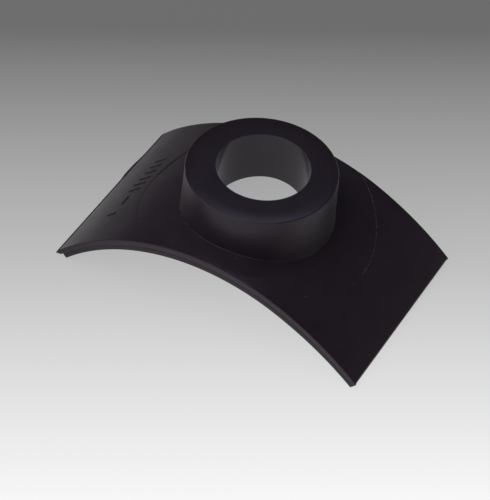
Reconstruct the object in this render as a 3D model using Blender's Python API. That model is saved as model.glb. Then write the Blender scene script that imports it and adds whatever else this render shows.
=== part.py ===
"""Rubber saddle fitting: a curved two-ply plate that seals on a pipe, with a bored boss on its crown.

Frame: metres, +Z up along the boss axis, +Y along the pipe. The origin lies on the boss axis, level
with the two long edges that the plate rests on. Distances round the plate, called arc below, are
measured along its outer surface from the crown, positive towards +X. Depths are measured from the
outer surface towards the pipe, square to the surface.
"""
import math

import bmesh
import bpy

MM = 0.001

# Plate
PLATE_LENGTH = 31.7 * MM          # along the pipe
CROWN_X = -0.35 * MM              # the crown lies a little to the left of the boss axis
CROWN_RADIUS = 33.5 * MM          # outer surface, over the crown
LEFT_FLANK_RADIUS = 34.5 * MM
RIGHT_FLANK_RADIUS = 48.0 * MM    # the right flank lies flatter
CROWN_HALF_ARC = 13.0 * MM        # where the crown arc meets the flank arcs
PLATE_HALF_ARC = 29.6 * MM        # from the crown to either long edge
CROWN_THICKNESS = 1.88 * MM
LEFT_THICKNESS = 1.62 * MM
RIGHT_THICKNESS = 1.38 * MM
COVER_SHARE = 0.5                 # the cover's share of the plate's thickness

# Left edge: the cover runs out past the liner in a thin lip
LINER_LEFT_SETBACK = 1.28 * MM
LIP_LENGTH = 1.2 * MM
LIP_EDGE_THICKNESS = 0.14 * MM

# Boss collar
BOSS_TOP_RADIUS = 11.7 * MM
BOSS_FOOT_RADIUS = 11.9 * MM
BOSS_HEIGHT = 6.85 * MM           # above the crown
BOSS_EDGE_CHAMFER = 0.35 * MM
BORE_RADIUS = 7.24 * MM
BORE_MOUTH_CHAMFER = 0.2 * MM
BORE_OFFSET_Y = 0.45 * MM         # the bore sits a little behind the boss axis
SPIGOT_RADIUS = 9.3 * MM          # the part of the collar inside the plate

# Reinforcement disc, in a pocket in the liner
DISC_RADIUS = 18.45 * MM
DISC_THICKNESS = 0.3 * MM
DISC_END_MARGIN = 1.0 * MM        # rubber left between the disc and the plate's end faces

BOND_GAP = 0.1 * MM               # between bonded faces, whose plies are under 1 mm thick
CUTTER_REACH = 3.0 * MM           # how far a cutter runs past what it cuts

ARC_STEPS = 48
ROUND_STEPS = 96
SMOOTH_ANGLE = math.radians(30)


def outer_point(arc):
    """Position and slope angle of the outer surface at an arc distance, with the crown at height 0."""
    side = -1.0 if arc < 0 else 1.0
    reach = abs(arc)
    crown_angle = min(reach, CROWN_HALF_ARC) / CROWN_RADIUS
    x = CROWN_RADIUS * math.sin(crown_angle)
    z = CROWN_RADIUS * (math.cos(crown_angle) - 1.0)
    angle = crown_angle
    if reach > CROWN_HALF_ARC:
        radius = RIGHT_FLANK_RADIUS if arc > 0 else LEFT_FLANK_RADIUS
        angle += (reach - CROWN_HALF_ARC) / radius
        x += radius * (math.sin(angle) - math.sin(crown_angle))
        z += radius * (math.cos(angle) - math.cos(crown_angle))
    return CROWN_X + side * x, z, side * angle


def plate_thickness(arc):
    """The plate is thickest at the crown and thins towards each long edge."""
    edge = LEFT_THICKNESS if arc < 0 else RIGHT_THICKNESS
    return CROWN_THICKNESS - (CROWN_THICKNESS - edge) * (arc / PLATE_HALF_ARC) ** 2


def section_point(arc, depth):
    """(x, z) at a depth below the outer surface, in the part's frame."""
    x, z, angle = outer_point(arc)
    return x - depth * math.sin(angle), z - depth * math.cos(angle) + CROWN_HEIGHT


def lowest_edge():
    """Depth of the plate's resting edge below the crown."""
    x, z, angle = outer_point(PLATE_HALF_ARC)
    return RIGHT_THICKNESS * math.cos(angle) - z


CROWN_HEIGHT = lowest_edge()
BOSS_TOP_Z = CROWN_HEIGHT + BOSS_HEIGHT


def interface_depth(arc):
    """Depth of the middle of the bond between cover and liner."""
    return COVER_SHARE * plate_thickness(arc)


def cover_underside(arc):
    """The cover's underside, which rises into the lip's thin edge at the left."""
    full = interface_depth(arc) - BOND_GAP / 2
    from_edge = arc + PLATE_HALF_ARC
    if from_edge >= LIP_LENGTH:
        return full
    return LIP_EDGE_THICKNESS + (full - LIP_EDGE_THICKNESS) * from_edge / LIP_LENGTH


def liner_top(arc):
    return interface_depth(arc) + BOND_GAP / 2


def disc_underside(arc):
    return liner_top(arc) + DISC_THICKNESS


def pocket_floor(arc):
    return disc_underside(arc) + BOND_GAP


def surface_height(x, depth_at):
    """Height of the surface at depth_at(arc) where it passes over x, found by halving the arc."""
    low, high = -PLATE_HALF_ARC, PLATE_HALF_ARC
    for _ in range(40):
        middle = (low + high) / 2
        if section_point(middle, depth_at(middle))[0] < x:
            low = middle
        else:
            high = middle
    return section_point(low, depth_at(low))[1]


def clear_scene():
    for obj in list(bpy.data.objects):
        bpy.data.objects.remove(obj, do_unlink=True)


def material(name, colour, roughness):
    mat = bpy.data.materials.new(name)
    mat.use_nodes = True
    shader = mat.node_tree.nodes["Principled BSDF"]
    shader.inputs["Base Color"].default_value = (*colour, 1.0)
    shader.inputs["Roughness"].default_value = roughness
    shader.inputs["Metallic"].default_value = 0.0
    return mat


def add_object(name, bm, mat=None):
    bmesh.ops.recalc_face_normals(bm, faces=bm.faces)
    mesh = bpy.data.meshes.new(name)
    bm.to_mesh(mesh)
    bm.free()
    mesh.shade_smooth()
    mesh.set_sharp_from_angle(angle=SMOOTH_ANGLE)
    obj = bpy.data.objects.new(name, mesh)
    if mat:
        mesh.materials.append(mat)
    bpy.context.scene.collection.objects.link(obj)
    return obj


def make_cutter(obj):
    obj.display_type = "WIRE"
    obj.hide_render = True
    return obj


def arc_stops(start, end, extra=()):
    stops = [start + (end - start) * i / ARC_STEPS for i in range(ARC_STEPS + 1)]
    return sorted(stops + list(extra))


def ply(name, stops, top_depth, bottom_depth, length, mat=None):
    """A curved layer: its cross-section as a strip of quads, extruded along the pipe."""
    bm = bmesh.new()
    front = -length / 2
    top = []
    bottom = []
    for arc in stops:
        x, z = section_point(arc, top_depth(arc))
        top.append(bm.verts.new((x, front, z)))
        x, z = section_point(arc, bottom_depth(arc))
        bottom.append(bm.verts.new((x, front, z)))
    for i in range(len(stops) - 1):
        bm.faces.new((top[i], top[i + 1], bottom[i + 1], bottom[i]))
    pulled = bmesh.ops.extrude_face_region(bm, geom=list(bm.faces))
    moved = [item for item in pulled["geom"] if isinstance(item, bmesh.types.BMVert)]
    bmesh.ops.translate(bm, verts=moved, vec=(0.0, length, 0.0))
    return add_object(name, bm, mat)


def round_cutter(name, radius):
    """An upright cylinder on the boss axis that runs right through the plate."""
    bm = bmesh.new()
    low = -CUTTER_REACH
    high = CROWN_HEIGHT + CUTTER_REACH
    bmesh.ops.create_cone(bm, cap_ends=True, segments=ROUND_STEPS, radius1=radius, radius2=radius,
                          depth=high - low)
    bmesh.ops.translate(bm, verts=bm.verts, vec=(0.0, 0.0, (low + high) / 2))
    return make_cutter(add_object(name, bm))


def boolean(obj, operation, other):
    modifier = obj.modifiers.new(operation.title() + " " + other.name, "BOOLEAN")
    modifier.operation = operation
    modifier.solver = "EXACT"
    modifier.object = other


def outer_cover(mat, spigot_hole):
    stops = arc_stops(-PLATE_HALF_ARC, PLATE_HALF_ARC, extra=[LIP_LENGTH - PLATE_HALF_ARC])
    obj = ply("outer_cover", stops, lambda arc: 0.0, cover_underside, PLATE_LENGTH, mat)
    boolean(obj, "DIFFERENCE", spigot_hole)


def disc_blank(name, radius_cutter, top_depth, bottom_depth, end_margin, mat=None):
    """A round layer that follows the plate's curve, cut short of the plate's end faces."""
    half_arc = DISC_RADIUS + CUTTER_REACH
    length = PLATE_LENGTH - 2 * end_margin
    obj = ply(name, arc_stops(-half_arc, half_arc), top_depth, bottom_depth, length, mat)
    boolean(obj, "INTERSECT", radius_cutter)
    return obj


def inner_liner(mat, spigot_hole):
    stops = arc_stops(LINER_LEFT_SETBACK - PLATE_HALF_ARC, PLATE_HALF_ARC)
    obj = ply("inner_liner", stops, liner_top, plate_thickness, PLATE_LENGTH, mat)
    rim = round_cutter("pocket_rim_cutter", DISC_RADIUS + BOND_GAP)
    pocket = disc_blank("pocket_cutter", rim, cover_underside, pocket_floor, DISC_END_MARGIN - BOND_GAP)
    make_cutter(pocket)
    boolean(obj, "DIFFERENCE", pocket)
    boolean(obj, "DIFFERENCE", spigot_hole)


def reinforcement_disc(mat, spigot_hole):
    rim = round_cutter("disc_rim_cutter", DISC_RADIUS)
    obj = disc_blank("reinforcement_disc", rim, liner_top, disc_underside, DISC_END_MARGIN, mat)
    boolean(obj, "DIFFERENCE", spigot_hole)


def ring(bm, radius, height_at, centre_y=0.0):
    """A closed loop of points round the boss, at the height given for each x."""
    verts = []
    for i in range(ROUND_STEPS):
        turn = 2 * math.pi * i / ROUND_STEPS
        x = radius * math.cos(turn)
        verts.append(bm.verts.new((x, centre_y + radius * math.sin(turn), height_at(x))))
    return verts


def boss_collar(mat):
    """The ring above the plate and the spigot inside it, as one turned body that follows the plate."""
    def top(x):
        return BOSS_TOP_Z

    def below_outer_chamfer(x):
        return BOSS_TOP_Z - BOSS_EDGE_CHAMFER

    def below_mouth_chamfer(x):
        return BOSS_TOP_Z - BORE_MOUTH_CHAMFER

    def seat(x):
        return surface_height(x, lambda arc: 0.0) + BOND_GAP

    def pipe_side(x):
        return surface_height(x, plate_thickness)

    bm = bmesh.new()
    middle_of_seat = (BOSS_FOOT_RADIUS + SPIGOT_RADIUS) / 2
    loops = [
        ring(bm, BORE_RADIUS + BORE_MOUTH_CHAMFER, top, BORE_OFFSET_Y),
        ring(bm, BOSS_TOP_RADIUS - BOSS_EDGE_CHAMFER, top),
        ring(bm, BOSS_TOP_RADIUS, below_outer_chamfer),
        ring(bm, BOSS_FOOT_RADIUS, seat),
        ring(bm, middle_of_seat, seat),
        ring(bm, SPIGOT_RADIUS, seat),
        ring(bm, SPIGOT_RADIUS, pipe_side),
        ring(bm, BORE_RADIUS, pipe_side, BORE_OFFSET_Y),
        ring(bm, BORE_RADIUS, below_mouth_chamfer, BORE_OFFSET_Y),
    ]
    for here, after in zip(loops, loops[1:] + loops[:1]):
        for i in range(ROUND_STEPS):
            j = (i + 1) % ROUND_STEPS
            bm.faces.new((here[i], here[j], after[j], after[i]))
    add_object("boss_collar", bm, mat)


def build():
    clear_scene()
    cover_rubber = material("cover_rubber", (0.014, 0.012, 0.014), 0.48)
    liner_rubber = material("liner_rubber", (0.022, 0.020, 0.022), 0.60)
    collar_rubber = material("collar_rubber", (0.012, 0.011, 0.013), 0.42)
    woven_fabric = material("woven_fabric", (0.10, 0.095, 0.085), 0.90)
    spigot_hole = round_cutter("spigot_hole_cutter", SPIGOT_RADIUS + BOND_GAP)
    outer_cover(cover_rubber, spigot_hole)
    inner_liner(liner_rubber, spigot_hole)
    reinforcement_disc(woven_fabric, spigot_hole)
    boss_collar(collar_rubber)


build()
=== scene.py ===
"""The looks of a black rubber pipe saddle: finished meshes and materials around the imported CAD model.

Distances round the plate, called arc, are measured along its outer surface from the crown, positive
towards +X. Depths are measured from the outer surface towards the pipe, square to the surface.
"""
import math

import bmesh
import bpy
import numpy as np
from mathutils import Matrix, Vector


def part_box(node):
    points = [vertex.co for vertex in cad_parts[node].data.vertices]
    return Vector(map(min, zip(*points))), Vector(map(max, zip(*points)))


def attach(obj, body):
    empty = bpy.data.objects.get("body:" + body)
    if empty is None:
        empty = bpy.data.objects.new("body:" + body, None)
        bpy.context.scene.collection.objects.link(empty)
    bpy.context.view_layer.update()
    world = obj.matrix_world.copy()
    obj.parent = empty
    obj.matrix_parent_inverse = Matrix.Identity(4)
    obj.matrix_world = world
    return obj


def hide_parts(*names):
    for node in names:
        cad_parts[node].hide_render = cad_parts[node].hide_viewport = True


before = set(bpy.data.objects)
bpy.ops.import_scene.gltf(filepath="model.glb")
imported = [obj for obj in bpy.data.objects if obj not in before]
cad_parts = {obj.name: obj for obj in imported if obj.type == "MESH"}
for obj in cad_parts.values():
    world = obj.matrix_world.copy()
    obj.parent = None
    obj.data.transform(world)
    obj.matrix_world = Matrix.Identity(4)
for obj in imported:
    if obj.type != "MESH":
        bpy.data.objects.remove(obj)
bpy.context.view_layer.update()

MM = 0.001

# Sizes read from the frame
cover_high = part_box("outer_cover")[1]
collar_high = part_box("boss_collar")[1]
CROWN_HEIGHT = cover_high.z
HALF_LENGTH = cover_high.y
BOSS_TOP = collar_high.z
BOSS_FOOT_RADIUS = collar_high.x  # the collar is widest at the boss's foot

# The plate's section, as in the CAD model
CROWN_X = -0.35 * MM
CROWN_RADIUS = 33.5 * MM
LEFT_FLANK_RADIUS = 34.5 * MM
RIGHT_FLANK_RADIUS = 48.0 * MM
CROWN_HALF_ARC = 13.0 * MM
PLATE_HALF_ARC = 29.6 * MM
CROWN_THICKNESS = 1.88 * MM
LEFT_THICKNESS = 1.62 * MM
RIGHT_THICKNESS = 1.38 * MM
LINER_LEFT_SETBACK = 1.28 * MM
LIP_LENGTH = 1.2 * MM
LIP_EDGE_THICKNESS = 0.14 * MM
BOND_GAP = 0.1 * MM

# The seam that shows between cover and liner, opening over the crown and closing on both flanks
VISIBLE_GAP = 0.04 * MM
SEAM_TIGHT = 0.25                 # what is left of its gap and rounded edges on the flanks
SEAM_OPENS_FROM = -17 * MM
SEAM_OPENS_OVER = 9 * MM
SEAM_CLOSED_FROM = 25 * MM
SEAM_CLOSES_OVER = 8 * MM
SEAM_EDGE_ROUND_COVER = 0.05 * MM
SEAM_EDGE_ROUND_LINER = 0.06 * MM

# The collar
BOSS_TOP_RADIUS = 11.7 * MM
BORE_RADIUS = 7.24 * MM
BORE_OFFSET_Y = 0.45 * MM
SPIGOT_RADIUS = 9.3 * MM
BOSS_EDGE_ROUND = 0.15 * MM
TOP_FALL = 0.17 * MM              # the boss's top falls away this much over its outer band
TOP_FALL_WIDTH = 2.3 * MM
MOUTH_ROUND = 0.05 * MM
EDGE_HOLD = 0.012 * MM            # a loop this close to each round keeps the shading of the faces flat
FOOT_FILLET = 0.06 * MM
FOOT_LIP = 0.004 * MM             # the fillet ends this far above the plate's nominal surface
FOOT_SKIRT = 0.02 * MM             # and then goes down this far, so that the crease has no gap
SEAT_GAP = 0.005 * MM             # the hidden seat stays this far above the nominal surface
SPIGOT_END_ROUND = 0.12 * MM

# The disc's pocket in the liner
DISC_RADIUS = 18.45 * MM
DISC_THICKNESS = 0.3 * MM
DISC_END_MARGIN = 1.0 * MM

# The faint ring where the disc's edge shows through the cover
RING_RADIUS = 18.5 * MM
RING_STEP = 0.036 * MM
RING_STEP_EXTRA = 0.052 * MM      # how much deeper the step is towards the back left
RING_DEEPENS_FROM_X = 6 * MM      # to the left of the boss axis
RING_DEEPENS_OVER_X = 8 * MM
RING_DEEPENS_FROM_Y = 1 * MM      # in front of the boss axis
RING_DEEPENS_OVER_Y = 5 * MM
RING_STEP_WIDTH = 0.12 * MM
RING_GROOVE = 0.018 * MM          # a finer line just outside the step
RING_GROOVE_RADIUS = 18.72 * MM
RING_GROOVE_WIDTH = 0.06 * MM
RING_FADE_START = 8.0 * MM        # the ring fades towards the plate's near end
RING_FADE_END = 13.5 * MM
RING_LEAST = 0.15                 # what is left of it there

EDGE_ROUND = 0.07 * MM            # along the cover's end faces
LONG_EDGE_ROUND = 0.40 * MM       # along the cover's right long edge
LINER_LOWER_ROUND = 0.06 * MM

# The left lip: a thin sheet that dips just inside its edge, with a raised stub where the gate was
CURL_DEPTH = 0.29 * MM
CURL_AT = 0.46 * MM
CURL_WIDTH = 0.27 * MM
FLASH_TRIM = 0.13 * MM
FLASH_TRIM_REACH = 0.8 * MM
GATE_RAISE = 0.13 * MM
GATE_REACH = 0.40 * MM
GATE_START = 4.3 * MM
GATE_START_SOFTNESS = 0.8 * MM
GATE_END = 8.6 * MM
GATE_END_SOFTNESS = 1.1 * MM

# Towards its back left corner the plate is cut a little short, and the corner stands up from the floor
CUT_SHORT = 0.75 * MM
SET_LIFT = 0.12 * MM
SET_START_ARC = -14.0 * MM

RAYS = 480                        # points round the plate's outline
TURN_STEPS = 256                  # points round the collar
SMOOTH_ANGLE = math.radians(40)   # steeper edges than this stay sharp
UNDER_FOOT = 0.5 * MM             # the cover's loops start this far inside the edge of the boss's foot
OUTWARD_STEPS = 26                # loops from the ring to the rim, crowded towards the rim by a power
RIM_CROWDING = 2.2
LOOP_CLEARANCE = 4e-4             # loops cut short by the rim keep this share of the way from each other
CLEAR_LOOPS = 14
NEAR_ZERO = 1e-12


# ---------------------------------------------------------------- the plate's section

def outer_point(arc):
    """x, z and slope angle of the outer surface at arc distances (arrays), crown at height 0."""
    reach = np.abs(arc)
    side = np.where(arc < 0, -1.0, 1.0)
    radius = np.where(arc < 0, LEFT_FLANK_RADIUS, RIGHT_FLANK_RADIUS)
    crown_angle = np.minimum(reach, CROWN_HALF_ARC) / CROWN_RADIUS
    angle = crown_angle + np.maximum(reach - CROWN_HALF_ARC, 0.0) / radius
    x = CROWN_RADIUS * np.sin(crown_angle) + radius * (np.sin(angle) - np.sin(crown_angle))
    z = CROWN_RADIUS * (np.cos(crown_angle) - 1) + radius * (np.cos(angle) - np.cos(crown_angle))
    return CROWN_X + side * x, z, side * angle


def section_point(arc, depth):
    """x and z of the points at depth under the outer surface, in the frame."""
    x, z, angle = outer_point(arc)
    return x - depth * np.sin(angle), z - depth * np.cos(angle) + CROWN_HEIGHT


ARC_TABLE = np.linspace(-PLATE_HALF_ARC * 1.02, PLATE_HALF_ARC * 1.02, 4001)
X_TABLE = outer_point(ARC_TABLE)[0]


def arc_over(x):
    """Arc distance of the outer surface where it passes over x."""
    return np.interp(x, X_TABLE, ARC_TABLE)


def plate_thickness(arc):
    edge = np.where(arc < 0, LEFT_THICKNESS, RIGHT_THICKNESS)
    return CROWN_THICKNESS - (CROWN_THICKNESS - edge) * (arc / PLATE_HALF_ARC) ** 2


def interface_depth(arc):
    return plate_thickness(arc) / 2


def seam_opening(arc):
    """The seam between the plies is open over the crown and tight on both flanks."""
    left = smooth((arc - SEAM_OPENS_FROM) / SEAM_OPENS_OVER)
    right = smooth((SEAM_CLOSED_FROM - arc) / SEAM_CLOSES_OVER)
    return SEAM_TIGHT + (1 - SEAM_TIGHT) * left * right


def cover_underside(arc):
    full = interface_depth(arc) - VISIBLE_GAP / 2 * seam_opening(arc)
    from_edge = np.clip((arc + PLATE_HALF_ARC) / LIP_LENGTH, 0.0, 1.0)
    return LIP_EDGE_THICKNESS + (full - LIP_EDGE_THICKNESS) * from_edge


def liner_top(arc):
    return interface_depth(arc) + VISIBLE_GAP / 2 * seam_opening(arc)


def pocket_floor(arc):
    return interface_depth(arc) + BOND_GAP * 1.5 + DISC_THICKNESS


def surface_height(x, depth_at):
    """Height of the surface at depth_at(arc) where it passes over x."""
    xs, zs = section_point(ARC_TABLE, depth_at(ARC_TABLE))
    return np.interp(x, xs, zs)


def ring_depth(flat):
    """How far the cover's surface sits below its nominal height, inside the disc's outline."""
    x, y = outer_point(flat[:, 0])[0], flat[:, 1]
    radius = np.hypot(x, y)
    leftward = smooth((-x - RING_DEEPENS_FROM_X) / RING_DEEPENS_OVER_X)
    backward = smooth((y + RING_DEEPENS_FROM_Y) / RING_DEEPENS_OVER_Y)
    step = RING_STEP + RING_STEP_EXTRA * leftward * backward
    inside = 1 / (1 + np.exp(np.clip((radius - RING_RADIUS) / (RING_STEP_WIDTH / 4), -50, 50)))
    groove = np.exp(-((radius - RING_GROOVE_RADIUS) / RING_GROOVE_WIDTH) ** 2)
    fade = np.clip((RING_FADE_END + y) / (RING_FADE_END - RING_FADE_START), RING_LEAST, 1.0)
    return (step * inside + RING_GROOVE * groove) * fade


def smooth(share):
    share = np.clip(share, 0.0, 1.0)
    return share * share * (3 - 2 * share)


def lip_curl(arc):
    """How far the lip dips, as a sheet, just inside its edge."""
    from_edge = arc + PLATE_HALF_ARC
    return CURL_DEPTH * np.exp(-((from_edge - CURL_AT) / CURL_WIDTH) ** 2)


def at_gate(y):
    """1 along the gate's stub, 0 elsewhere, with soft ends."""
    begun = np.tanh((y - GATE_START) / GATE_START_SOFTNESS)
    ended = np.tanh((y - GATE_END) / GATE_END_SOFTNESS)
    return (begun - ended) / 2


def lip_trim(arc, y):
    """How far the lip's edge is drawn in, away from the gate's stub."""
    return FLASH_TRIM * (1 - at_gate(y)) * np.exp(-((arc + PLATE_HALF_ARC) / FLASH_TRIM_REACH) ** 2)


def gate_rise(arc, y):
    """How far the lip's edge stands up at the gate's stub."""
    return GATE_RAISE * at_gate(y) * np.exp(-((arc + PLATE_HALF_ARC) / GATE_REACH) ** 2)


# ---------------------------------------------------------------- meshes

def object_from(name, points, faces, material):
    """A smooth-shaded object, with its normals turned outward and its steep edges sharp."""
    mesh = bpy.data.meshes.new(name)
    mesh.from_pydata([tuple(p) for p in points], [], faces)
    bm = bmesh.new()
    bm.from_mesh(mesh)
    bmesh.ops.recalc_face_normals(bm, faces=bm.faces)
    bm.to_mesh(mesh)
    bm.free()
    mesh.shade_smooth()
    mesh.set_sharp_from_angle(angle=SMOOTH_ANGLE)
    mesh.materials.append(material)
    obj = bpy.data.objects.new(name, mesh)
    bpy.context.scene.collection.objects.link(obj)
    return obj


def closed_tube(loops):
    """Points and quads of a body whose cross-section loops are joined in a ring, last to first."""
    count = len(loops[0])
    points = np.concatenate(loops)
    faces = []
    for k in range(len(loops)):
        here = k * count
        after = ((k + 1) % len(loops)) * count
        for i in range(count):
            j = (i + 1) % count
            faces.append((here + i, here + j, after + j, after + i))
    return points, faces


def edge_stops(half_arc_low, half_arc_high):
    """Points round the plate's outline in (arc, y), one for each ray from the boss axis, corners exact."""
    outline = []
    sides = [
        ((half_arc_high, -HALF_LENGTH), (half_arc_high, HALF_LENGTH)),
        ((half_arc_high, HALF_LENGTH), (half_arc_low, HALF_LENGTH)),
        ((half_arc_low, HALF_LENGTH), (half_arc_low, -HALF_LENGTH)),
        ((half_arc_low, -HALF_LENGTH), (half_arc_high, -HALF_LENGTH)),
    ]
    for start, end in sides:
        turn_start = math.atan2(start[1], start[0])
        turn_end = math.atan2(end[1], end[0])
        sweep = (turn_end - turn_start) % (2 * math.pi)
        steps = round(RAYS * sweep / (2 * math.pi))
        for i in range(steps):
            turn = turn_start + sweep * i / steps
            direction = np.array([math.cos(turn), math.sin(turn)])
            if start[0] == end[0]:
                outline.append(direction * start[0] / direction[0])
            else:
                outline.append(direction * start[1] / direction[1])
    return np.array(outline)


def inset(outline, by_arc, by_y):
    """The outline drawn in from its long edges by by_arc and from its end faces by by_y."""
    low, high = outline[:, 0].min(), outline[:, 0].max()
    middle, half = (low + high) / 2, (high - low) / 2
    arc = middle + (outline[:, 0] - middle) * (half - by_arc) / half
    y = outline[:, 1] * (HALF_LENGTH - by_y) / HALF_LENGTH
    return np.stack([arc, y], axis=1)


def far_along(inner, outer, share):
    """Points at this share of the way from inner to outer."""
    return inner + (outer - inner) * share


def circle_in_plate(outline, radius):
    """(arc, y) where the outer surface lies over a circle round the boss axis, one for each ray.

    Deeper points at the same arc lean in towards the axis on the flanks, so a hole narrows as it goes down.
    """
    turn = np.arctan2(outline[:, 1], outline[:, 0])
    return np.stack([arc_over(radius * np.cos(turn)), radius * np.sin(turn)], axis=1)


def radius_of(flat):
    return np.hypot(outer_point(flat[:, 0])[0], flat[:, 1])


def share_at(inner, outer, radius, least_gap):
    """How far along the straight lines from inner to outer the radius is met, clear of outer."""
    low = np.zeros(len(inner))
    high = np.ones(len(inner))
    halvings = 30
    for _ in range(halvings):
        middle = (low + high) / 2
        flat = far_along(inner, outer, middle[:, None])
        short = radius_of(flat) < radius
        low = np.where(short, middle, low)
        high = np.where(short, high, middle)
    return np.minimum(low, 1 - least_gap)


def on_plate(flat, depth):
    """Points at depth under the outer surface, with the shortened and lifted back left corner."""
    outward = smooth((SET_START_ARC - flat[:, 0]) / (SET_START_ARC + PLATE_HALF_ARC)) ** 2
    share = outward * smooth(flat[:, 1] / HALF_LENGTH)
    x, z = section_point(flat[:, 0] + CUT_SHORT * share, depth)
    return np.stack([x, flat[:, 1], z + SET_LIFT * share], axis=1)


def on_cover(flat, depth):
    """Points of the cover: as on the plate, with the lip's curl and its uneven edge."""
    arc = flat[:, 0] + lip_trim(flat[:, 0], flat[:, 1])
    dip = lip_curl(flat[:, 0]) - gate_rise(flat[:, 0], flat[:, 1])
    return on_plate(np.stack([arc, flat[:, 1]], axis=1), depth + dip)


def quarter_turns(steps):
    """Angles of a quarter round, from 0 to a right angle."""
    return [math.pi / 2 * k / steps for k in range(steps + 1)]


def cover_top(start, rim):
    """Loops of the cover's top from under the boss's foot to the rim, closest over the faint ring."""
    radii = [k * MM for k in np.arange(11.7, 18.0, 0.45)]
    radii += [k * MM for k in np.arange(18.1, 19.05, 0.045)]
    radii += [k * MM for k in np.arange(19.2, 20.6, 0.35)]
    loops = [on_cover(start, ring_depth(start))]
    for k, radius in enumerate(radii):
        kept_clear = (len(radii) + CLEAR_LOOPS - k) * LOOP_CLEARANCE
        share = share_at(start, rim, radius, kept_clear)
        flat = far_along(start, rim, share[:, None])
        loops.append(on_cover(flat, ring_depth(flat)))
    last_ring = flat
    for k in range(1, OUTWARD_STEPS):
        share = 1 - (1 - k / OUTWARD_STEPS) ** RIM_CROWDING
        flat = far_along(last_ring, rim, share)
        loops.append(on_cover(flat, ring_depth(flat)))
    return loops


def cover_mesh(material):
    """The outer ply: top with its faint ring, rounded edges, left lip, flat ends and hidden underside."""
    outline = edge_stops(-PLATE_HALF_ARC, PLATE_HALF_ARC)
    hole = circle_in_plate(outline, SPIGOT_RADIUS + BOND_GAP)
    round_arc = np.where(outline[:, 0] > 0, LONG_EDGE_ROUND, LIP_EDGE_THICKNESS / 2)
    flat_rim = inset(outline, round_arc, EDGE_ROUND)
    loops = [on_cover(hole, ring_depth(hole))]
    loops += cover_top(circle_in_plate(outline, BOSS_FOOT_RADIUS - UNDER_FOOT), flat_rim)

    end_face = np.isclose(np.abs(outline[:, 1]), HALF_LENGTH)
    for turn in quarter_turns(5):
        left_over = 1 - math.sin(turn)
        flat = inset(outline, round_arc * left_over, EDGE_ROUND * left_over)
        drop = np.where(end_face, EDGE_ROUND, round_arc) * (1 - math.cos(turn))
        loops.append(on_cover(flat, drop + ring_depth(flat)))
    lower_round = SEAM_EDGE_ROUND_COVER * seam_opening(outline[:, 0])
    lower_round = np.minimum(lower_round, cover_underside(outline[:, 0]) / 3)
    for turn in quarter_turns(3):
        by = lower_round * (1 - math.cos(turn))
        flat = inset(outline, by, by)
        under = cover_underside(flat[:, 0])
        loops.append(on_cover(flat, under - lower_round * (1 - math.sin(turn))))

    lip_root = inset(outline, LIP_LENGTH, EDGE_ROUND * 4)
    underside = [far_along(flat, lip_root, share) for share in np.linspace(0.1, 0.9, 9)]
    underside += [far_along(lip_root, hole, share) for share in np.linspace(0, 1, 18)]
    loops += [on_cover(stop, cover_underside(stop[:, 0])) for stop in underside]
    points, faces = closed_tube(loops)
    return object_from("saddle_cover", points, faces, material)


def liner_mesh(material):
    """The inner ply: sealing face, rounded edges, flat ends, and the hidden pocket for the disc."""
    low_arc = LINER_LEFT_SETBACK - PLATE_HALF_ARC
    outline = edge_stops(low_arc, PLATE_HALF_ARC)
    hole = circle_in_plate(outline, SPIGOT_RADIUS + BOND_GAP)

    pocket_half = HALF_LENGTH - DISC_END_MARGIN + BOND_GAP
    edge = SEAM_EDGE_ROUND_LINER * seam_opening(outline[:, 0])
    top_rim = inset(outline, edge, edge)
    run = top_rim[:, 1] - hole[:, 1]
    reach = (pocket_half * np.sign(top_rim[:, 1]) - hole[:, 1]) / (run + NEAR_ZERO)
    limit = np.where(np.abs(top_rim[:, 1]) > pocket_half, reach, 1.0)
    share = np.minimum(share_at(hole, top_rim, DISC_RADIUS + BOND_GAP, 0.0), limit)
    pocket = far_along(hole, top_rim, share[:, None])
    loops = []
    for step in np.linspace(0, 1, 12):
        flat = far_along(hole, pocket, step)
        loops.append(on_plate(flat, pocket_floor(flat[:, 0])))
    for step in np.linspace(0, 1, 12):
        flat = far_along(pocket, top_rim, step)
        loops.append(on_plate(flat, liner_top(flat[:, 0])))
    for turn in quarter_turns(3)[1:]:
        by = edge * (1 - math.sin(turn))
        flat = inset(outline, by, by)
        loops.append(on_plate(flat, liner_top(flat[:, 0]) + edge * (1 - math.cos(turn))))
    lower = LINER_LOWER_ROUND
    for turn in quarter_turns(4):
        by = lower * (1 - math.cos(turn))
        flat = inset(outline, by, by)
        loops.append(on_plate(flat, plate_thickness(flat[:, 0]) - lower * (1 - math.sin(turn))))
    under_rim = inset(outline, lower, lower)
    for step in np.linspace(0.03, 1, 34):
        flat = far_along(under_rim, hole, step)
        loops.append(on_plate(flat, plate_thickness(flat[:, 0])))
    points, faces = closed_tube(loops)
    return object_from("saddle_liner", points, faces, material)


def arc_loops(centre_radius, centre_height, size, start, end, steps):
    """(radius, height) stops on a quarter round, by angle from straight out."""
    stops = []
    for k in range(steps + 1):
        turn = math.radians(start + (end - start) * k / steps)
        stops.append((centre_radius + size * math.cos(turn), centre_height + size * math.sin(turn)))
    return stops


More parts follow.
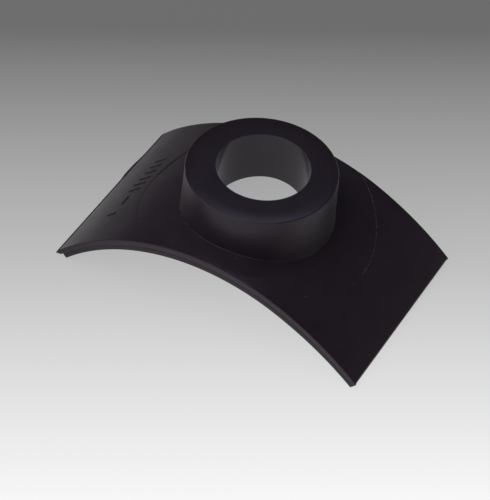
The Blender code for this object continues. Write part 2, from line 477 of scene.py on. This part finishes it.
def collar_mesh(material):
    """The boss with its bore and spigot, turned round its axis; its underside follows the plate."""
    turn = np.linspace(0, 2 * math.pi, TURN_STEPS, endpoint=False)

    def ring(radius, height, centre_y=0.0):
        x = radius * np.cos(turn)
        z = height(x) if callable(height) else np.full(TURN_STEPS, height)
        return np.stack([x, centre_y + radius * np.sin(turn), z], axis=1)

    def seat(x):
        return surface_height(x, lambda arc: 0 * arc)

    def pipe_side(x):
        return surface_height(x, plate_thickness)

    def above(height_at, lift):
        return lambda x: height_at(x) + lift

    loops = []
    mouth_outer = BORE_RADIUS + MOUTH_ROUND
    for radius, height in arc_loops(mouth_outer, BOSS_TOP - MOUTH_ROUND, MOUTH_ROUND, 180, 90, 6):
        loops.append(ring(radius, height, BORE_OFFSET_Y))

    top_inner = BOSS_TOP_RADIUS - BOSS_EDGE_ROUND
    top_steps = 16
    shares = [k / top_steps for k in range(1, top_steps)]
    hold = EDGE_HOLD / (top_inner - mouth_outer)
    for share in [hold] + shares + [1 - hold]:
        radius = mouth_outer + (top_inner - mouth_outer) * share
        fall = TOP_FALL * max(0.0, 1 - (BOSS_TOP_RADIUS - radius) / TOP_FALL_WIDTH) ** 2
        loops.append(ring(radius, BOSS_TOP - fall, BORE_OFFSET_Y * (1 - share) ** 2))

    wall_top = BOSS_TOP - TOP_FALL - BOSS_EDGE_ROUND
    for radius, height in arc_loops(top_inner, wall_top, BOSS_EDGE_ROUND, 90, 0, 7):
        loops.append(ring(radius, height))

    wall_steps = 10
    hold = EDGE_HOLD / (BOSS_TOP - CROWN_HEIGHT)
    for share in [hold] + [k / wall_steps for k in range(1, wall_steps + 1)]:
        def wall(x, share=share):
            return wall_top + (seat(x) + FOOT_FILLET - wall_top) * share

        radius = BOSS_TOP_RADIUS + (BOSS_FOOT_RADIUS - BOSS_TOP_RADIUS) * share
        loops.append(ring(radius, wall))
    for turned in quarter_turns(5)[1:-1]:
        radius = BOSS_FOOT_RADIUS + FOOT_FILLET * (1 - math.cos(turned))
        loops.append(ring(radius, above(seat, FOOT_FILLET * (1 - math.sin(turned)))))
    loops.append(ring(BOSS_FOOT_RADIUS + FOOT_FILLET, above(seat, FOOT_LIP)))
    loops.append(ring(BOSS_FOOT_RADIUS + FOOT_FILLET, above(seat, -FOOT_SKIRT)))
    for radius in (BOSS_FOOT_RADIUS - 0.2 * MM, 11.0 * MM, 10.2 * MM, SPIGOT_RADIUS):
        loops.append(ring(radius, above(seat, SEAT_GAP)))

    end_round = SPIGOT_END_ROUND
    for turned in quarter_turns(4):
        radius = SPIGOT_RADIUS - end_round * (1 - math.cos(turned))
        loops.append(ring(radius, above(pipe_side, end_round * (1 - math.sin(turned)))))
    for turned in quarter_turns(4):
        radius = BORE_RADIUS + end_round * (1 - math.sin(turned))
        lift = end_round * (1 - math.cos(turned))
        loops.append(ring(radius, above(pipe_side, lift), BORE_OFFSET_Y))

    bore_top = BOSS_TOP - MOUTH_ROUND - EDGE_HOLD
    bore_steps = 12
    for k in range(1, bore_steps + 1):
        share = k / bore_steps

        def bore_wall(x, share=share):
            return pipe_side(x) + end_round + (bore_top - pipe_side(x) - end_round) * share

        loops.append(ring(BORE_RADIUS, bore_wall, BORE_OFFSET_Y))
    points, faces = closed_tube(loops)
    return object_from("saddle_collar", points, faces, material)


MARK_ARC = -21.6 * MM             # the row of raised marks runs along the left flank
MARK_HEIGHT = 0.12 * MM
MARK_SINK = 0.08 * MM             # how far a mark's hidden foot goes into the cover
BARS = 6
FIRST_BAR_Y = -2.0 * MM
BAR_PITCH = 1.6 * MM


def raised_mark(centre_arc, centre_y, along_arc, along_y, width):
    """Points and faces of a low bar with round ends. along_arc and along_y are its run, end to end."""
    length = math.hypot(along_arc, along_y)
    half_run = max(length - width, 0.0) / 2
    heading = math.atan2(along_y, along_arc)
    half_width = width / 2
    steps = 10
    outline = []
    for end, first_turn in ((half_run, -math.pi / 2), (-half_run, math.pi / 2)):
        for k in range(steps + 1):
            turn = first_turn + math.pi * k / steps
            outline.append((end, math.cos(turn), math.sin(turn)))
    soft_top = ((1.0, 0.35), (0.93, 0.72), (0.8, 0.94), (0.62, 1.0))  # shares of width and height
    profile = [(1.0, MARK_SINK)] + [(scale, -MARK_HEIGHT * rise) for scale, rise in soft_top]
    points = []
    for scale, depth in profile:
        for run, along, across in outline:
            u = run + half_width * scale * along
            v = half_width * scale * across
            arc = centre_arc + u * math.cos(heading) - v * math.sin(heading)
            y = centre_y + u * math.sin(heading) + v * math.cos(heading)
            points.append(on_plate(np.array([[arc, y]]), np.array([depth]))[0])
    count = len(outline)
    faces = []
    for k in range(len(profile) - 1):
        for i in range(count):
            j = (i + 1) % count
            faces.append((k * count + i, k * count + j, (k + 1) * count + j, (k + 1) * count + i))
    faces.append(tuple(range(count)))
    faces.append(tuple((len(profile) - 1) * count + i for i in reversed(range(count))))
    return points, faces


def raised_marks(material):
    """A plain row of slanting bars, a dash and a low oval bar, with no lettering in it."""
    marks = []
    for k in range(BARS):
        marks.append((MARK_ARC, FIRST_BAR_Y + BAR_PITCH * k, 2.2 * MM, 0.55 * MM, 0.32 * MM))
    marks.append((MARK_ARC, -4.9 * MM, 0.0, 2.1 * MM, 0.30 * MM))
    marks.append((MARK_ARC - 0.5 * MM, -8.4 * MM, 1.7 * MM, 0.35 * MM, 0.95 * MM))
    points = []
    faces = []
    for mark in marks:
        own_points, own_faces = raised_mark(*mark)
        faces += [tuple(i + len(points) for i in face) for face in own_faces]
        points += own_points
    return object_from("raised_marks", points, faces, material)


# ---------------------------------------------------------------- materials

class Nodes:
    """A small helper that adds and joins shader nodes."""

    def __init__(self, name):
        self.material = bpy.data.materials.new(name)
        self.material.use_nodes = True
        self.tree = self.material.node_tree
        self.shader = self.tree.nodes["Principled BSDF"]

    def add(self, kind, **values):
        node = self.tree.nodes.new(kind)
        for key, value in values.items():
            if hasattr(node, key):
                setattr(node, key, value)
            else:
                node.inputs[key.replace("_", " ")].default_value = value
        return node

    def join(self, source, target):
        self.tree.links.new(source, target)

    def noise(self, scale, detail=4.0, roughness=0.55, stretch=None):
        coordinates = self.add("ShaderNodeTexCoord")
        source = coordinates.outputs["Object"]
        if stretch:
            mapping = self.add("ShaderNodeMapping")
            mapping.inputs["Scale"].default_value = stretch["scale"]
            mapping.inputs["Rotation"].default_value = stretch["rotation"]
            self.join(source, mapping.inputs["Vector"])
            source = mapping.outputs["Vector"]
        node = self.add("ShaderNodeTexNoise", Scale=scale, Detail=detail, Roughness=roughness)
        self.join(source, node.inputs["Vector"])
        return node.outputs["Fac"]

    def ramp(self, source, stops):
        node = self.add("ShaderNodeValToRGB")
        band = node.color_ramp
        while len(band.elements) < len(stops):
            band.elements.new(0.5)
        for element, (place, colour) in zip(band.elements, stops):
            element.position = place
            element.color = (*colour, 1.0)
        self.join(source, node.inputs["Fac"])
        return node.outputs["Color"]

    def spread(self, source, low, high, new_low, new_high):
        node = self.add("ShaderNodeMapRange")
        for key, value in zip(("From Min", "From Max", "To Min", "To Max"),
                              (low, high, new_low, new_high)):
            node.inputs[key].default_value = value
        self.join(source, node.inputs["Value"])
        return node.outputs["Result"]

    def math(self, operation, first, second):
        node = self.add("ShaderNodeMath", operation=operation)
        for socket, value in zip(node.inputs, (first, second)):
            if isinstance(value, (int, float)):
                socket.default_value = value
            else:
                self.join(value, socket)
        return node.outputs["Value"]

    def mix(self, factor, first, second):
        node = self.add("ShaderNodeMix", data_type="RGBA")
        self.join(factor, node.inputs[0])
        for socket, value in zip((node.inputs[6], node.inputs[7]), (first, second)):
            if isinstance(value, tuple):
                socket.default_value = (*value, 1.0)
            else:
                self.join(value, socket)
        return node.outputs[2]

    def place(self, axis):
        split = self.add("ShaderNodeSeparateXYZ")
        self.join(self.add("ShaderNodeTexCoord").outputs["Object"], split.inputs[0])
        return split.outputs[axis]

    def radius_about(self, centre_y):
        """Distance from an upright axis that passes through (0, centre_y)."""
        across = self.math("POWER", self.place("X"), 2.0)
        along = self.math("POWER", self.math("SUBTRACT", self.place("Y"), centre_y), 2.0)
        return self.math("SQRT", self.math("ADD", across, along), 0.0)

    def bump(self, height, distance, normal=None):
        node = self.add("ShaderNodeBump", Distance=distance)
        self.join(height, node.inputs["Height"])
        if normal:
            self.join(normal, node.inputs["Normal"])
        return node.outputs["Normal"]


SHEEN = 0.09                      # the fine bloom on the rubber, seen at grazing angles
SHEEN_ROUGHNESS = 0.35
SPECULAR_LEVEL = 0.36
REFLECTION_TINT = (1.0, 0.88, 1.0, 1.0)
FINE_GRAIN = 0.006 * MM           # how deep the two grains of the rubber's surface are
BROAD_GRAIN = 0.008 * MM
SCUFF_TONE = (0.030, 0.028, 0.030)
SCUFF_STRENGTH = 0.25
SCUFF_ROUGHNESS = 0.25
SCUFF_STRETCH = {"scale": (1.0, 9.0, 1.0), "rotation": (0.0, 0.0, 0.9)}
LINT_TONE = (0.16, 0.15, 0.15)

# painted light: the bore's wall is painted lighter than the rest of the collar, standing in for light
# reaching into the bore
BORE_PAINTED_LIGHT = (0.040, 0.036, 0.042)
BORE_GLOSS = 0.5                  # the bore's roughness, as a share of the rest of the collar's
PAINTED_EDGE_HIGHLIGHT = (0.24, 0.22, 0.24)    # painted highlight: the fine light line along the boss's top edge, where it catches the light
EDGE_HIGHLIGHT_DEPTH = 0.05 * MM
EDGE_HIGHLIGHT_HEADING = math.radians(24.90)  # the painted highlight's stretches lie to the left and right of this heading, the view's
CREASE_DUST_AND_RING_HIGHLIGHT = (0.17, 0.16, 0.17)  # fine dust in the crease at the boss's foot, and a painted highlight along the faint ring on its right, where the ring's step faces the light
DUST_AND_HIGHLIGHT_WIDTH = 0.09 * MM
FOOT_DUST_SHARE = 0.6


def bore_mask(nodes):
    """1 on the bore's wall, 0 on the rest of the collar."""
    return nodes.spread(nodes.radius_about(BORE_OFFSET_Y), BORE_RADIUS * 1.003, BORE_RADIUS * 1.01, 1.0, 0.0)


def round_band(nodes, radius):
    """1 on a circle round the boss axis, falling to 0 half a line width to either side."""
    off = nodes.math("ABSOLUTE", nodes.math("SUBTRACT", nodes.radius_about(0.0), radius), 0.0)
    return nodes.spread(off, 0.0, DUST_AND_HIGHLIGHT_WIDTH / 2, 1.0, 0.0)


def painted_edge_highlight(nodes):
    """Painted highlight on broken stretches of the boss's top edge, on its left and right, behind the
    middle.
    """
    rim = BOSS_TOP_RADIUS - EDGE_HIGHLIGHT_DEPTH
    at_rim = nodes.spread(nodes.radius_about(0.0), rim - EDGE_HIGHLIGHT_DEPTH, rim, 0.0, 1.0)
    wall_top = BOSS_TOP - TOP_FALL - BOSS_EDGE_ROUND
    above_wall = nodes.spread(nodes.place("Z"), wall_top - 0.06 * MM, wall_top, 0.0, 1.0)
    rightward = nodes.math("MULTIPLY", nodes.place("X"), math.sin(EDGE_HIGHLIGHT_HEADING))
    backward = nodes.math("MULTIPLY", nodes.place("Y"), math.cos(EDGE_HIGHLIGHT_HEADING))
    forward = nodes.math("SUBTRACT", rightward, backward)
    not_front = nodes.spread(forward, 1.0 * MM, 3.0 * MM, 1.0, 0.0)
    not_back = nodes.spread(forward, -10.0 * MM, -8.0 * MM, 0.0, 1.0)
    at_side = nodes.math("MULTIPLY", not_front, not_back)
    whole = nodes.math("MULTIPLY", nodes.math("MULTIPLY", at_rim, above_wall), at_side)
    broken = nodes.spread(nodes.noise(2600.0, detail=2.0), 0.42, 0.60, 0.0, 1.0)
    return nodes.math("MULTIPLY", whole, broken)


def foot_dust_and_ring_highlight(nodes):
    """Broken lines of dust round the boss's foot, and a painted highlight along the ring on its right."""
    at_foot = round_band(nodes, BOSS_FOOT_RADIUS + FOOT_FILLET + DUST_AND_HIGHLIGHT_WIDTH / 2)
    at_foot = nodes.math("MULTIPLY", at_foot, FOOT_DUST_SHARE)
    on_right = nodes.spread(nodes.place("X"), 9.0 * MM, 12.0 * MM, 0.0, 1.0)
    not_front = nodes.spread(nodes.place("Y"), -6.0 * MM, -1.0 * MM, 0.0, 1.0)
    at_ring = nodes.math("MULTIPLY", round_band(nodes, RING_RADIUS + DUST_AND_HIGHLIGHT_WIDTH / 2),
                         nodes.math("MULTIPLY", on_right, not_front))
    broken = nodes.spread(nodes.noise(2300.0, detail=2.0), 0.44, 0.62, 0.0, 1.0)
    return nodes.math("MULTIPLY", nodes.math("ADD", at_foot, at_ring), broken)


def rubber(name, dark, light, smooth_end, rough_end, bored=False, dusty_and_highlit=False):
    """Moulded black rubber: cloudy colour, fine grain, faint scuffs, a few specks of lint."""
    nodes = Nodes(name)
    colour = nodes.ramp(nodes.noise(180.0, detail=5.0), [(0.30, dark), (0.72, light)])
    scuff_noise = nodes.noise(260.0, detail=3.0, stretch=SCUFF_STRETCH)
    scuff = nodes.spread(scuff_noise, 0.68, 0.76, 0.0, SCUFF_STRENGTH)
    colour = nodes.mix(scuff, colour, SCUFF_TONE)
    lint = nodes.spread(nodes.noise(1500.0, detail=1.0), 0.80, 0.83, 0.0, 1.0)
    colour = nodes.mix(lint, colour, LINT_TONE)
    patchy = nodes.spread(nodes.noise(420.0, detail=4.0), 0.3, 0.7, smooth_end, rough_end)
    roughness = nodes.math("ADD", patchy, nodes.math("MULTIPLY", scuff, SCUFF_ROUGHNESS))
    if bored:
        # painted highlight along the boss's top edge, on its left and right
        colour = nodes.mix(painted_edge_highlight(nodes), colour, PAINTED_EDGE_HIGHLIGHT)
        # the bore's wall is painted lighter, as painted light; its lower roughness is real
        in_bore = bore_mask(nodes)
        colour = nodes.mix(in_bore, colour, BORE_PAINTED_LIGHT)
        gloss = nodes.spread(in_bore, 0.0, 1.0, 1.0, BORE_GLOSS)
        roughness = nodes.math("MULTIPLY", roughness, gloss)
    if dusty_and_highlit:
        # dust round the boss's foot, and a painted highlight along the faint ring on its right
        colour = nodes.mix(foot_dust_and_ring_highlight(nodes), colour, CREASE_DUST_AND_RING_HIGHLIGHT)
    nodes.join(colour, nodes.shader.inputs["Base Color"])
    nodes.join(roughness, nodes.shader.inputs["Roughness"])
    nodes.shader.inputs["Specular IOR Level"].default_value = SPECULAR_LEVEL
    nodes.shader.inputs["Specular Tint"].default_value = REFLECTION_TINT
    nodes.shader.inputs["Sheen Tint"].default_value = REFLECTION_TINT
    nodes.shader.inputs["Sheen Weight"].default_value = SHEEN
    nodes.shader.inputs["Sheen Roughness"].default_value = SHEEN_ROUGHNESS
    fine = nodes.bump(nodes.noise(7000.0, detail=2.0), FINE_GRAIN)
    broad = nodes.bump(nodes.noise(320.0, detail=2.0), BROAD_GRAIN, fine)
    nodes.join(broad, nodes.shader.inputs["Normal"])
    return nodes.material


def fabric(name):
    """Coarse square-woven reinforcement cloth."""
    nodes = Nodes(name)
    coordinates = nodes.add("ShaderNodeTexCoord")
    bands = []
    for direction in ("X", "Y"):
        wave = nodes.add("ShaderNodeTexWave", wave_type="BANDS", bands_direction=direction, Scale=420.0,
                         Distortion=0.6)
        nodes.join(coordinates.outputs["Object"], wave.inputs["Vector"])
        bands.append(wave.outputs["Fac"])
    weave = nodes.math("MULTIPLY", bands[0], bands[1])
    colour = nodes.ramp(weave, [(0.1, (0.05, 0.047, 0.042)), (0.8, (0.16, 0.15, 0.135))])
    nodes.join(colour, nodes.shader.inputs["Base Color"])
    nodes.shader.inputs["Roughness"].default_value = 0.9
    nodes.join(nodes.bump(weave, 0.05 * MM), nodes.shader.inputs["Normal"])
    return nodes.material


def floor_material():
    """A pale light table that glows, brightest in front of the saddle and dimmer behind it."""
    nodes = Nodes("pale_floor")
    place = nodes.add("ShaderNodeTexCoord").outputs["Object"]
    along = nodes.add("ShaderNodeVectorMath", operation="DOT_PRODUCT")
    along.inputs[1].default_value = FLOOR_FADE_DIRECTION
    nodes.join(place, along.inputs[0])
    fade = nodes.spread(along.outputs["Value"], -FLOOR_FADE_REACH, FLOOR_FADE_REACH, 0.0, 1.0)
    grain = nodes.spread(nodes.noise(900.0), 0.3, 0.7, 0.985, 1.015)
    paper = nodes.ramp(fade, [(0.0, (FLOOR_NEAR,) * 3), (1.0, (FLOOR_FAR,) * 3)])
    tinted = nodes.add("ShaderNodeVectorMath", operation="SCALE")
    nodes.join(paper, tinted.inputs[0])
    nodes.join(grain, tinted.inputs["Scale"])
    nodes.join(tinted.outputs["Vector"], nodes.shader.inputs["Base Color"])
    glow = nodes.ramp(fade, [(0.0, (GLOW_NEAR,) * 3), (0.5, (GLOW_MIDDLE,) * 3), (1.0, (GLOW_FAR,) * 3)])
    nodes.join(glow, nodes.shader.inputs["Emission Color"])
    nodes.shader.inputs["Emission Strength"].default_value = 1.0
    nodes.shader.inputs["Roughness"].default_value = 0.8
    nodes.shader.inputs["Specular IOR Level"].default_value = 0.1
    return nodes.material


# ---------------------------------------------------------------- stage

FLOOR_HALF_SIZE = 2
FLOOR_DROP = 0.02 * MM            # the table lies this far under the saddle's lowest edge
FLOOR_FADE_DIRECTION = (-0.548, 0.837, 0.0)
FLOOR_FADE_REACH = 0.055
FLOOR_NEAR = 0.10                 # the table's reflectance at the two ends of its fade
FLOOR_FAR = 0.05
GLOW_NEAR = 0.93                  # its own glow there, and halfway
GLOW_MIDDLE = 0.47
GLOW_FAR = 0.125
STUDIO_DARK = (0.035, 0.035, 0.037, 1.0)
SHEEN_LIGHT_COLOUR = (0.72, 0.74, 1.0)
VIEW_AZIMUTH = math.radians(24.90)
VIEW_ELEVATION = math.radians(44.83)
VIEW_ROLL = math.radians(5.87)
VIEW_DISTANCE = 399.2 * MM
VIEW_TARGET = Vector((1.03 * MM, -5.34 * MM, 6.82 * MM))
VIEW_LENS = 188.25                # mm, on a 36 mm sensor


def add_camera():
    """The camera looks down on the saddle from the front right, a little rolled."""
    back = Vector((
        math.sin(VIEW_AZIMUTH) * math.cos(VIEW_ELEVATION),
        -math.cos(VIEW_AZIMUTH) * math.cos(VIEW_ELEVATION),
        math.sin(VIEW_ELEVATION),
    ))
    data = bpy.data.cameras.new("camera")
    data.lens = VIEW_LENS
    data.sensor_width = 36.0
    data.clip_start = 0.01
    data.clip_end = 20.0
    camera = bpy.data.objects.new("camera", data)
    bpy.context.scene.collection.objects.link(camera)
    upright = (-back).to_track_quat("-Z", "Y").to_matrix().to_4x4()
    roll = Matrix.Rotation(VIEW_ROLL, 4, "Z")
    camera.matrix_world = Matrix.Translation(VIEW_TARGET + back * VIEW_DISTANCE) @ upright @ roll
    bpy.context.scene.camera = camera


def add_softbox(name, place, width, height, power, colour=(1.0, 1.0, 1.0)):
    """A soft panel light at place, in metres, turned towards the saddle; power is in watts."""
    data = bpy.data.lights.new(name, "AREA")
    data.shape = "RECTANGLE"
    data.size = width
    data.size_y = height
    data.energy = power
    data.color = colour
    light = bpy.data.objects.new(name, data)
    light.location = place
    light.rotation_euler = (-Vector(place)).to_track_quat("-Z", "Y").to_euler()
    light.visible_camera = False
    bpy.context.scene.collection.objects.link(light)


def add_stage():
    """The light table, the dark studio round it and the lights."""
    half = FLOOR_HALF_SIZE
    points = [(-half, -half, 0), (half, -half, 0), (half, half, 0), (-half, half, 0)]
    floor = object_from("floor", points, [(0, 1, 2, 3)], floor_material())
    floor.location.z = -FLOOR_DROP
    world = bpy.data.worlds.new("studio")
    world.use_nodes = True
    world.node_tree.nodes["Background"].inputs["Color"].default_value = STUDIO_DARK
    bpy.context.scene.world = world
    bpy.context.scene.view_settings.view_transform = "Standard"
    add_softbox("front_key", (0.04, -0.42, 0.20), 0.60, 0.30, 0.26)
    add_softbox("overhead", (-0.25, -0.30, 0.68), 1.10, 1.10, 4.9)
    add_softbox("right_rim", (0.60, 0.30, 0.12), 0.40, 0.20, 0.02)
    add_softbox("back_rim", (0.25, 0.75, 0.10), 0.60, 0.16, 0.30)
    add_softbox("left_panel", (-0.75, 0.60, 0.03), 0.90, 0.06, 0.09)
    add_softbox("sheen", (-0.090, 0.275, 0.53), 0.24, 0.08, 0.20, SHEEN_LIGHT_COLOUR)


# ---------------------------------------------------------------- the saddle

def install(piece, node):
    """Hands a finished piece to the frame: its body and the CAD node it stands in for."""
    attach(piece, "root")
    if node:
        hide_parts(node)


add_camera()
cover_rubber = rubber("cover_rubber", (0.0186, 0.0129, 0.0190), (0.0243, 0.0175, 0.0250), 0.29, 0.36,
                      dusty_and_highlit=True)
liner_rubber = rubber("liner_rubber", (0.0140, 0.0104, 0.0143), (0.0186, 0.0142, 0.0192), 0.40, 0.50)
collar_rubber = rubber("collar_rubber", (0.0132, 0.0092, 0.0137), (0.0174, 0.0125, 0.0181), 0.28, 0.34,
                       bored=True)
install(cover_mesh(cover_rubber), "outer_cover")
install(liner_mesh(liner_rubber), "inner_liner")
install(collar_mesh(collar_rubber), "boss_collar")
install(raised_marks(cover_rubber), None)
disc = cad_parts["reinforcement_disc"]
disc.data.materials.clear()
disc.data.materials.append(fabric("woven_fabric"))
add_stage()
